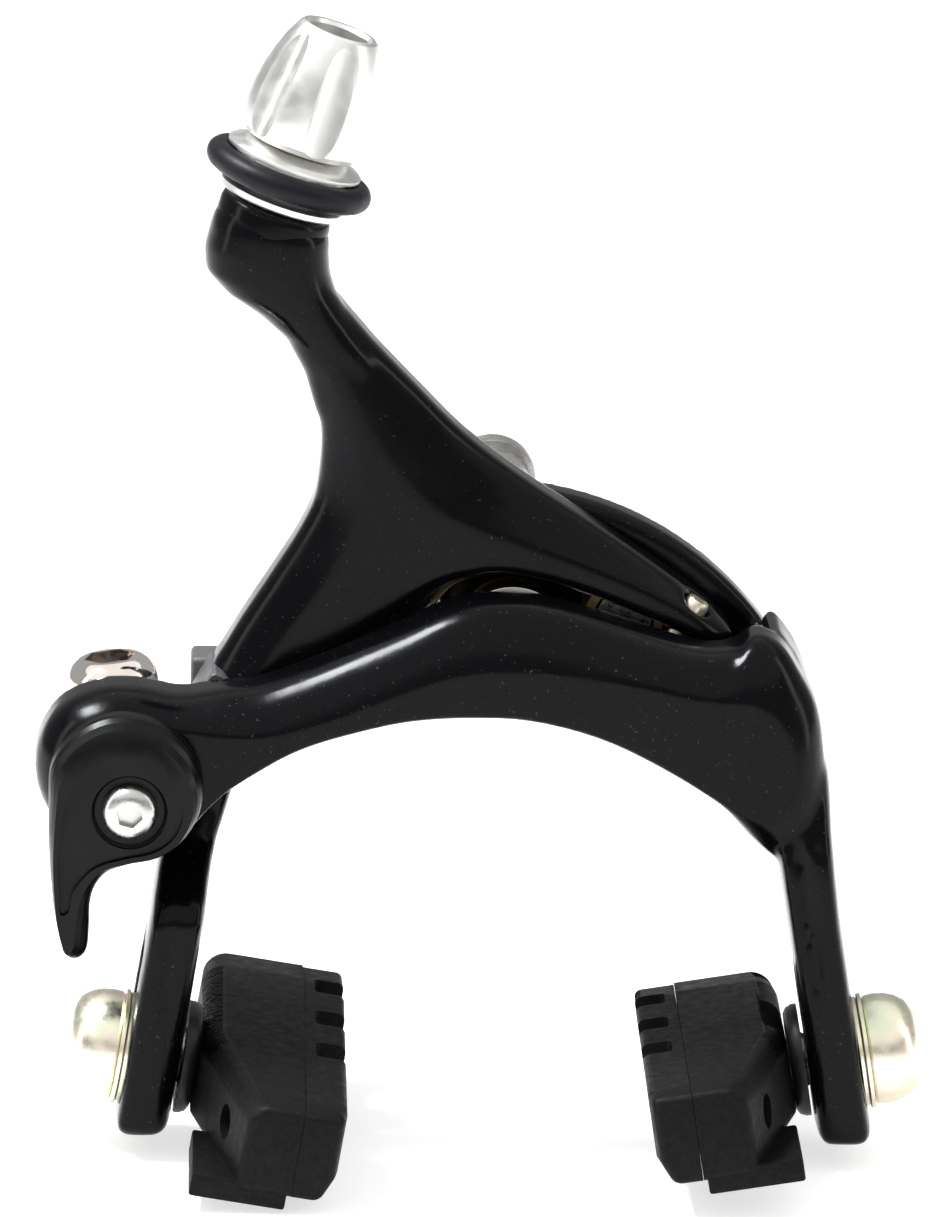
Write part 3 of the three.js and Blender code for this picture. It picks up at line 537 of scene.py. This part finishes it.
yArm = {
    "back": -12.4, "shoulder": -17.0, "front": -20.7, "skin": (0.42, 11),
    "rim": [(-22.0, 38.6), (-19.9, 37.2), (-17.9, 35.0), (-15.1, 31.8), (-10.3, 26.9), (-5.3, 22),
            (1.6, 16.9), (7, 13.5), (14.7, 8.5), (20.2, 4.5), (23.7, 1.0), (23.6, -0.6), (20.9, -0.5),
            (17.9, 1.0), (14.7, 2.3), (9.3, 4.5), (3.9, 6.2), (-1.5, 7.0), (-4.7, 6.0), (-7.9, 3.6),
            (-14, -3.0), (-21, -7.0), (-26, -11.5), (-33.0, -11.5), (-32.2, -4.5), (-30.4, -1.1),
            (-29.1, 1.2), (-25.8, 6.5), (-23.1, 11), (-21.5, 14.6), (-20.9, 18.5), (-20.9, 22.9),
            (-22.2, 27.8), (-23.5, 32.0), (-23.8, 33.6), (-24.0, 35.2), (-24.0, 37.0), (-23.4, 38.4)],
    "crease": [(-22.2, 37.8), (-21.2, 36.8), (-20.2, 34.4), (-18.9, 30.2), (-17.0, 25.6), (-14.6, 21.2),
               (-9.5, 15.4), (-1.6, 11.9), (7.5, 8.9), (14.6, 6.1), (19.6, 3.3), (20.6, 1.0), (19.0, 1.2),
               (17.2, 2.0), (14.2, 3.1), (9.0, 5.3), (3.7, 7.0), (-1.5, 7.9), (-4.8, 7.5), (-8.2, 6.6),
               (-14.4, 2.8), (-21.3, -2.7), (-26.6, -8.6), (-30.6, -8.4), (-28.6, -5), (-26.4, -2.8),
               (-24.8, -0.2), (-22.6, 2.9), (-19.6, 7.2), (-17.4, 12), (-16.4, 17.2), (-16.9, 21.5),
               (-18.6, 26.4), (-20.8, 31.0), (-21.6, 33.4), (-22.0, 35.0), (-22.4, 36.6), (-22.6, 37.6)],
    "leg": [(-8, -33.7, -28.2, -20.9, -12.4, 0), (-14, -34.9, -28.6, -20.9, -12.4, 0),
            (-19.0, -36.2, -30.0, -21.3, -12.8, 0), (-22.0, -36.9, -31.0, -22.6, -14.0, 0),
            (-24.4, -37.5, -31.6, -26.0, -15.6, 0), (-27.0, -38.0, -32.0, -29.8, -16.5, 0.2),
            (-29.0, -38.3, -32.2, -31.0, -16.5, 0.7), (-33, -38.9, -32.8, -31.0, -16.5, 0.9),
            (-38, -39.7, -33.5, -31.0, -16.5, 0.6), (-42, -40.3, -34.1, -31.0, -16.5, 0),
            (-51.6, -41.6, -35.6, -31.0, -16.5, 0), (-53.4, -41.5, -36.2, -30.2, -17.4, 0)],
    # from the round boss down into the stem: left, right and half the depth
    "neck": [((-31.9, 48.7), (-19.9, 44.9), 6.1), ((-33.1, 45.3), (-20.3, 42.0), 6.3),
             ((-33.8, 42.4), (-20.1, 39.6), 6.3), ((-33.7, 40.0), (-19.4, 37.4), 6.0),
             ((-31.6, 37.6), (-18.2, 35.4), 5.4), ((-28.2, 35.4), (-16.8, 33.2), 4.8),
             ((-25.0, 32.6), (-14.9, 30.6), 4.35), ((-22.9, 28.8), (-13.2, 27.8), 3.8),
             ((-21.6, 24.6), (-14.6, 24.0), 3.0), ((-20.0, 21.0), (-16.4, 20.8), 1.2)],
}


def neckRings(sides=16, squareness=0.85, middleY=-16.5):
    # rounded sections from edge to edge of the neck
    rings = []
    for left, right, deep in yArm["neck"]:
        middle = (Vector(left) + Vector(right)) / 2
        across = (Vector(right) - Vector(left)) / 2
        ring = []
        for k in range(sides):
            side, depth = math.cos(math.tau * k / sides), math.sin(math.tau * k / sides)
            side = math.copysign(abs(side) ** squareness, side)
            depth = math.copysign(abs(depth) ** squareness, depth)
            point = middle + across * side
            ring.append((point.x, middleY + deep * depth, point.y))
        rings.append(ring)
    return rings


adjusterPlace = at(-25.9, -16.5, 46.9) @ turn(18, "Y")
screwPlace = at(19.9, -17.8, 4.2) @ turn(30, "Y")
sidePivotPlace = at(12, 0, 2.5) @ toFront


def makeRearArm():
    front = forged(yArm["rim"], yArm["crease"], yArm["back"], yArm["shoulder"], yArm["front"],
                   sweep=34, soft=0.35)
    front = carved(front, rod(1.75, -9, 3, 24, screwPlace))
    collar = lathe([(3.3, -6), (5.6, -6), (6.0, -4.0), (6.1, -1.0), (5.9, -0.3), (5.4, 0), (3.3, 0), (3.3, -6)],
                   64, adjusterPlace)
    neck = carved(raised(neckRings())[0], rod(3.3, -8.8, 4, 32, adjusterPlace), levels=2)
    legPart = carved(leg(yArm["leg"], (0.34, 0.5, 0.66)), slotCutter(leftLeg), levels=2)
    hubRelief = rod(8.8, -19.6, -10, 48, toFront)  # room over the hub washer and spacer as the arm closes
    front = carved(front, rod(4.3, -20, -10, 40, sidePivotPlace), hubRelief)
    skin = fused(joined(front, neck, legPart), *yArm["skin"])
    return finishPiece("rearArmForging", joined(skin, collar), paint, "rear_arm", ["y_arm"], smoothAngle=60)


# cable adjuster

knob = {
    # outline of the barrel from the ring nut up
    "outline": [(3.0, -8.2), (3.0, 6.3), (5.2, 6.6), (6.1, 6.85), (6.6, 7.5), (6.85, 8.6), (6.95, 10.2),
                (6.8, 12.2), (6.45, 14.2), (5.95, 16.0), (5.3, 17.8), (4.6, 19.2), (4.3, 19.7),
                (4.0, 19.95), (3.6, 19.9),
                (3.3, 19.5), (3.3, 12), (1.3, 12), (1.3, -8.2), (3.0, -8.2)],
    "flutes": 6, "fluteRadius": 2.4, "fluteAt": 8.75, "lean": 8,
}


rubberRing = {"radius": 7.75, "section": 1.42, "height": 3.4}


def fluteCutter(index):
    bm = rod(knob["fluteRadius"], -9, 24, 64, turn(-knob["lean"], "Y"))
    side = turn((index + 0.7) * 360 / knob["flutes"], "Z")
    bmesh.ops.transform(bm, matrix=side @ at(knob["fluteAt"], 0, 7), verts=bm.verts)
    return bm


def makeAdjuster():
    barrel = carved(lathe(knob["outline"], 96), *[fluteCutter(k) for k in range(knob["flutes"])])
    bmesh.ops.transform(barrel, matrix=adjusterPlace, verts=barrel.verts)
    piece = finishPiece("adjusterBarrel", barrel, polished, "barrel", ["adjuster_barrel"], heal=False)
    roundEdges(piece, 0.28, 3, 14)
    # dished flange, neck and lower plate
    nut = lathe([(3.3, 0.25), (6.3, 0.25), (6.7, 0.5), (6.75, 1.1), (6.4, 1.5), (5.4, 1.9), (5.2, 3.4),
                 (5.8, 4.6), (6.9, 4.75), (7.35, 5.0), (7.4, 5.4), (7.0, 5.7), (6.1, 5.95), (5.3, 6.4),
                 (4.6, 6.6), (3.3, 6.6), (3.3, 0.25)], 72, adjusterPlace)
    finishPiece("adjusterRingNut", nut, polished, "ring_nut", ["adjuster_ring_nut"])
    radius, section, height, sides = rubberRing["radius"], rubberRing["section"], rubberRing["height"], 20
    angles = [math.tau * k / sides for k in range(sides)]
    outline = [(radius + section * math.cos(a), height + section * math.sin(a)) for a in angles]
    ring = lathe(outline + [(radius + section, height)], 72, adjusterPlace)
    finishPiece("adjusterRubberRing", ring, rubber, "ring_nut", ["adjuster_o_ring"])


# quick release and cable anchor

releaseAt = (-40.6, -15.6)
lever = {
    "rim": [(-49.2, -14.6), (-48.9, -10.6), (-46.4, -7.2), (-43.2, -5.5), (-40.2, -5.4), (-36.8, -6.6),
            (-34.2, -9.1), (-32.9, -12.6), (-33.2, -16.0), (-35.0, -19.0), (-37.6, -20.9), (-40.6, -21.6),
            (-43.1, -22.7), (-44.5, -25.2), (-44.7, -29.0), (-45.0, -31.4), (-46.2, -32.2), (-47.2, -31.0),
            (-48.3, -27.6), (-49.0, -21.5)],
    "face": [(-47.9, -15.6), (-47.3, -13.0), (-45.6, -10.6), (-43.4, -9.2), (-40.6, -8.6), (-38.0, -9.2),
             (-35.8, -11.0), (-34.5, -13.6), (-34.5, -16.4), (-35.8, -18.9), (-38.2, -20.2), (-41.0, -20.9),
             (-44.0, -21.9), (-46.0, -24.6), (-46.9, -28.0), (-47.1, -30.2), (-47.4, -30.8), (-47.6, -30.4),
             (-48.1, -27.4), (-48.4, -21.5)],
    "flat": [(-47.6, -16.2), (-46.4, -12.6), (-44.2, -10.6), (-41.4, -9.7), (-38.4, -10.2), (-36.0, -12.2),
             (-34.9, -15.0), (-35.6, -17.9), (-37.8, -19.8), (-41.0, -20.6), (-44.2, -21.7), (-46.4, -24.2),
             (-47.4, -27.0), (-47.9, -24.6), (-48.1, -20.4)],
}


def makeQuickRelease():
    x, z = releaseAt
    body = forged(lever["rim"], lever["face"], -30.95, -32.4, -35.2, sweep=25, soft=0.3)
    flatInner = [(a * 0.96 + x * 0.04, b * 0.96 + z * 0.04) for a, b in lever["flat"]]
    raisedFace = forged(lever["flat"], flatInner, -34.6, -35.5, -35.85, sweep=60, soft=0.15)
    recess = lathe([(0, -33.3), (3.7, -33.3), (4.05, -33.6), (4.05, -37.5), (0, -37.5)],
                   64, at(x, 0, z) @ toFront)
    square = block(-2.2, 2.2, -38, -30, -2.2, 2.2, at(x, 0, z))
    body = carved(carved(body, raisedFace, how="UNION"), recess, square)
    finishPiece("quickReleaseLever", body, leverPaint, "release", ["quick_release_lever"], heal=False)
    head = lathe([(0, -33.35), (2.9, -33.35), (3.0, -33.6), (2.95, -34.1), (2.6, -34.7), (2.0, -35.05),
                  (1.5, -35.15), (0, -35.15)], 48, at(x, 0, z) @ toFront)
    hexagon = rod(1.45, -36, -34.2, 6, at(x, 0, z) @ turn(15, "Y") @ toFront)
    piece = finishPiece("quickReleaseScrew", carved(head, hexagon), steel, "release", ["quick_release_screw"],
                        heal=False)
    roundEdges(piece, 0.1, 2, 40)


anchorPlace = at(-41.421, -15.65, -17.855) @ turn(-6, "Y")
anchorHead = 10.3  # underside of the bolt's head, above the pin


def makeAnchor():
    low = anchorHead
    head = lathe([(0, low), (4.6, low), (4.95, low + 0.35), (5.0, low + 1.6), (4.8, low + 2.6),
                  (4.1, low + 3.6), (3.4, low + 4.1), (3.0, low + 4.2), (0, low + 4.2)], 64, anchorPlace)
    socket = rod(2.85, low + 1.4, low + 6, 6, anchorPlace @ turn(12, "Z"))
    shank = rod(2.4, 3.2, low + 0.5, 32, anchorPlace)
    bolt = joined(carved(head, socket), shank)
    piece = finishPiece("anchorBolt", bolt, chrome, "anchor", ["anchor_bolt"], heal=False)
    roundEdges(piece, 0.18, 2, 40)


# pads, nuts and washers, the same on both legs

padSize = {
    "end": 25.0, "top": 5.0, "outer": 4.75, "seam": 15.75, "insertFrom": 15.8, "brake": 20.35,
    "facetSide": 5.2, "facetRun": 20.5, "grooves": (16.3, 5.9, -4.5), "grooveWide": 4.4, "grooveDeep": 2.1,
}


def padBody():
    size = padSize
    end, top, outer, seam = size["end"], size["top"], size["outer"], size["seam"]
    # sections from the front end to the rear: y, outer side, top, bottom
    sections = [(-end, outer + size["facetSide"], top - 0.2, -top), (-end + size["facetRun"], outer, top, -top),
                (0, outer, top, -top), (end - 8, outer, top, -top),
                (end - 2.2, outer + 0.3, top - 0.5, -top), (end, outer + 1.2, top - 2.2, -top + 1.2)]
    rings = [[(-x - 1.5, y, high), (-x, y, high - 1.5), (-x, y, low), (-seam, y, low), (-seam, y, high)]
             for y, x, high, low in sections]
    body = raised(rings)[0]
    softened(body, 0.9, 4, 25, -seam)
    lip = softened(block(-seam + 0.4, -outer - 0.3, -end + 0.4, -end + 14, -top - 1.6, -top + 1), 0.3, 2)
    slant = math.degrees(math.atan2(size["facetSide"], size["facetRun"]))
    hole = rod(1.9, -2.6, 3, 32, at(-outer - size["facetSide"] * 0.62, -end + size["facetRun"] * 0.38, -0.4)
               @ turn(-slant, "Z") @ toSide)
    stud = rod(3.3, -11.2, 0, 32, toSide)
    return carved(carved(body, lip, how="UNION"), hole, stud)


def padInsert():
    size = padSize
    end, top, seam, brake = size["end"], size["top"], size["insertFrom"], size["brake"]
    sections = [(-end, brake - 0.4, top - 0.3, -top), (-end + 3, brake, top - 0.1, -top),
                (end - 8, brake, top - 0.3, -top), (end - 2.2, brake - 0.1, top - 0.7, -top),
                (end, brake - 0.7, top - 2.4, -top + 1.2)]
    rings = [[(-seam, y, high), (-seam, y, low), (-x + 1.2, y, low), (-x, y, low + 2.8), (-x, y, high)]
             for y, x, high, low in sections]
    body = raised(rings)[0]
    softened(body, 0.8, 4, 25, -seam)
    half = size["grooveWide"] / 2
    deep = -brake + size["grooveDeep"]
    cuts = [softened(block(-brake - 4, deep, y - half, y + half, -top - 3, top + 3), 0.7, 3)
            for y in size["grooves"]]
    tops = [softened(block(-brake - 4, -seam - 1.2, y - half, y + half, top - 2.0, top + 3), 0.6, 3)
            for y in size["grooves"]]
    return carved(body, *cuts, *tops)


# turned pieces on each stud, from the dome nut inwards: node, finish and (radius, distance along the stud)
studPieces = {
    "DomeNut": ("dome_nut", zinc, [
        (3.3, 3.95), (5.7, 3.95), (5.95, 4.2), (6.0, 5.3), (5.9, 6.3), (5.55, 7.4), (4.9, 8.4), (3.9, 9.1),
        (2.4, 9.4), (0, 9.45), (0, 5.6), (3.3, 5.6), (3.3, 3.95)]),
    "OuterWasher": ("outer_washer", zinc, [
        (3.3, 3.35), (6.1, 3.35), (6.25, 3.45), (6.25, 3.8), (6.1, 3.9), (3.3, 3.9), (3.3, 3.35)]),
    "LockWasher": ("lock_washer", zinc, [
        (3.3, 2.75), (5.8, 2.75), (5.95, 2.85), (5.95, 3.2), (5.8, 3.3), (3.3, 3.3), (3.3, 2.75)]),
    "SeatWasher": ("seat_washer", plastic, [
        (3.3, -4.7), (5.2, -4.7), (5.8, -4.35), (6.1, -3.7), (6.1, -3.15), (3.3, -3.15), (3.3, -4.7)]),
}


def makeSide(label, side, legMatrix, tilt):
    mirror = Matrix.Diagonal((side, 1, 1, 1))
    fixed = legMatrix @ mirror
    swung = legMatrix @ turn(tilt, "X") @ mirror
    for name, (node, finish, profile) in studPieces.items():
        finishPiece(label + name, lathe(profile, 64, fixed @ toSide), finish, label + "_carrier",
                    [label + "_" + node])
    ride = label + "_pad"
    finishPiece(label + "PadBody", padBody(), padRubber, ride, [label + "_pad_body"], place=swung, heal=False)
    finishPiece(label + "FrictionInsert", padInsert(), padRubber, ride, [label + "_friction_insert"],
                place=swung, heal=False)
    ridges = [(3.0 - 0.22 * (k % 2), -4.6 + 0.25 * k) for k in range(43)]
    stud = lathe([(0, -10.8), (3.0, -10.8), (3.0, -4.85)] + ridges + [(0, 5.5)], 40, swung @ toSide)
    finishPiece(label + "PadStud", stud, steel, ride, [label + "_pad_stud"])


# pieces round the centre bolt and on the arms

def makeCentre():
    washer = lathe([(4.3, -21.1), (6.3, -21.1), (6.4, -21.05), (6.4, -20.85), (6.3, -20.8), (4.3, -20.8),
                    (4.3, -21.1)], 64, toFront)
    finishPiece("hubWasher", washer, steel, "root", ["hub_washer"])
    nut = lathe([(3.0, 28), (4.1, 28), (4.3, 28.3), (4.3, 49), (4.9, 49), (5.0, 49.3), (5.0, 51.8), (4.5, 52.4),
                 (3.1, 52.4), (2.9, 52.0), (2.9, 48), (3.0, 47.9), (3.0, 28)], 64, toFront)
    finishPiece("fixingNut", nut, steel, "root", ["fixing_nut"])
    screw = carved(lathe([(0, -8), (1.4, -8), (1.4, -0.3), (1.15, 0.35), (0, 0.35)], 32, screwPlace),
                   rod(0.85, -1.4, 1, 6, screwPlace))
    finishPiece("centringScrew", screw, zinc, "rear_arm", ["centring_screw"], heal=False)


spring = {
    "route": [(-30.5, -8.8, -9.5), (-20, -5.4, -10.4), (-7, -4.8, -11), (7, -4.8, -11), (17, -4.8, -13),
              (26.5, -5.2, -19.5)],
    "wire": 0.9, "channel": 1.25, "clipChannel": 1.15,
    # extents in x, y and z of what the wire lies in
    "clip": (-4.2, 4.2, -6.4, -3.2, -12.3, -9.1), "guide": (24.6, 29.2, -6.8, -2.1, -20.9, -15.6),
    "seat": (-34.2, -28.6, -11.9, -6.2, -12.0, -4.5),
}


def channelAlong(origin, start, end, low, high):
    # the groove for the wire, from origin in the direction from start to end
    line = (Vector(end) - Vector(start)).normalized()
    direction = line.to_track_quat("Z", "Y").to_matrix().to_4x4()
    return rod(spring["channel"], low, high, 20, at(*origin) @ direction)


def makeShoulder():
    # plastic cover of the rear arm's left corner, and the spring's seat behind the web
    rim = [(-31.6, -3.6), (-32.9, -5.2), (-34.0, -7.2), (-34.4, -9.5), (-34.3, -12.2), (-31, -12.6),
           (-28.6, -12.2), (-28.4, -9), (-29.2, -6)]
    inner = [(a * 0.96 - 31 * 0.04, b * 0.96 - 9 * 0.04) for a, b in rim]
    cover = forged(rim, inner, -12.0, -20.3, -21.2, sweep=70, soft=0.2)
    seat = softened(block(*spring["seat"]), 0.6)
    first, second = spring["route"][:2]
    seat = carved(seat, channelAlong(first, first, second, -12, 30))
    # cover and seat both take the plastic whose lighter grey base is painted light
    finishPiece("rearArmCover", joined(cover, seat), shoulder, "rear_arm", ["y_arm_spring_guide"])


# return spring: two wire limbs on a fixed route between the bracket and the arms, with the clip that holds the
# middle

def wire(points, radius, per=8, sides=14):
    # a round bar through the points, ring by ring
    ends = [Vector(p) for p in points]
    ends = [ends[0] * 2 - ends[1], *ends, ends[-1] * 2 - ends[-2]]
    middle = []
    for before, start, end, after in zip(ends, ends[1:], ends[2:], ends[3:]):
        handles = start + (end - before) / 6, end - (after - start) / 6
        middle += geometry.interpolate_bezier(start, *handles, end, per + 1)[:-1]
    middle.append(ends[-2])
    angles = [math.tau * j / sides for j in range(sides)]
    rings = []
    for k, centre in enumerate(middle):
        along = middle[min(k + 1, len(middle) - 1)] - middle[max(k - 1, 0)]
        side = along.cross(Vector((0, 0, 1))).normalized()
        above = side.cross(along).normalized()
        rings.append([centre + (side * math.cos(a) + above * math.sin(a)) * radius for a in angles])
    return raised(rings)[0]


def makeSpring():
    route = spring["route"]
    left = finishPiece("springLeftLimb", wire(route[:4], spring["wire"]), steel, None, ["return_spring"])
    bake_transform(left)
    right = finishPiece("springRightLimb", wire(route[3:], spring["wire"]), steel, None)
    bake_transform(right)
    clip = softened(block(*spring["clip"]), 0.4)
    middle = rod(spring["clipChannel"], -20, 20, 20, at(0, *route[2][1:]) @ toSide)
    finishPiece("springClip", carved(clip, middle), plastic, "root", ["spring_clip"])
    guide = softened(block(*spring["guide"]), 0.5)
    channel = channelAlong(route[-1], route[-2], route[-1], -12, 12)
    finishPiece("frontArmGuide", carved(guide, channel), plastic, "front_arm", ["c_arm_spring_guide"])


makeFrontArm()
makeRearArm()
makeShoulder()
makeSpring()
print("arms done")
makeCentre()
makeAdjuster()
makeQuickRelease()
makeAnchor()
print("adjuster, quick release and anchor done")
makeSide("right", 1, rightLeg, -2.5)
makeSide("left", -1, leftLeg, 2.5)
print("pads done")

print("stage and camera")
sceneNow = bpy.context.scene
sceneNow.view_settings.view_transform = "Standard"


def cameraAt(distance, elevation, azimuth, roll, target):
    e, a, q = (math.radians(v) for v in (elevation, azimuth, roll))
    back = Vector((math.sin(a) * math.cos(e), -math.cos(a) * math.cos(e), math.sin(e)))
    right = Vector((math.cos(a), math.sin(a), 0))
    up = back.cross(right)
    across = right * math.cos(q) + up * math.sin(q)
    above = -right * math.sin(q) + up * math.cos(q)
    turned = Matrix((across, above, back)).transposed().to_4x4()
    return at(*(Vector(target) + back * distance)) @ turned


cameraData = bpy.data.cameras.new("camera")
cameraData.lens = 9.35 * 1150 / 1217 * 36
cameraData.sensor_width = 36
cameraData.clip_start, cameraData.clip_end = 0.05, 20
camera = bpy.data.objects.new("camera", cameraData)
sceneNow.collection.objects.link(camera)
camera.matrix_world = cameraAt(1.15, 15, -2, 1.5, (-0.0044, -0.020, 0.0037))
sceneNow.camera = camera


def areaLight(name, size, power, colour, location, aim):
    data = bpy.data.lights.new(name, "AREA")
    data.shape = "RECTANGLE"
    data.size, data.size_y = size
    data.energy = power
    data.color = colour
    lamp = bpy.data.objects.new(name, data)
    lamp.location = location
    lamp.rotation_euler = (Vector(aim) - Vector(location)).to_track_quat("-Z", "Y").to_euler()
    sceneNow.collection.objects.link(lamp)


areaLight("overheadSoftbox", (0.3, 0.16), 13, (0.93, 0.96, 1.0), (-0.42, -0.02, 0.72), (0, -0.02, 0))
areaLight("leftSoftbox", (0.16, 0.8), 1.6, (1.0, 0.98, 0.95), (-0.9, -0.2, 0.35), (0, -0.02, 0))
areaLight("rightSoftbox", (0.16, 0.8), 1.6, (1.0, 0.98, 0.95), (0.9, -0.1, 0.3), (0, -0.02, 0))
skyData = bpy.data.lights.new("softSky", "SUN")
skyData.energy, skyData.angle = 1.5, math.radians(110)
sky = bpy.data.objects.new("softSky", skyData)
sky.rotation_euler = (math.radians(12), 0, 0)
sceneNow.collection.objects.link(sky)

world = bpy.data.worlds.new("studio")
world.use_nodes = True
world.node_tree.nodes["Background"].inputs["Color"].default_value = (1, 1, 1, 1)
world.node_tree.nodes["Background"].inputs["Strength"].default_value = 0.42
sceneNow.world = world

floorLook = bpy.data.materials.new("paleFloor")
floorLook.use_nodes = True
floorShader = floorLook.node_tree.nodes["Principled BSDF"]
floorShader.inputs["Base Color"].default_value = (0.6, 0.6, 0.6, 1)
floorShader.inputs["Emission Color"].default_value = (1, 1, 1, 1)
floorShader.inputs["Emission Strength"].default_value = 0.66
floorShader.inputs["Roughness"].default_value = 0.9
floorMesh = bmesh.new()
bmesh.ops.create_grid(floorMesh, x_segments=1, y_segments=1, size=6, matrix=at(0, 0, -0.0556))
floorData = bpy.data.meshes.new("floor")
floorMesh.to_mesh(floorData)
floorMesh.free()
floorObject = bpy.data.objects.new("floor", floorData)
floorObject.data.materials.append(floorLook)
sceneNow.collection.objects.link(floorObject)
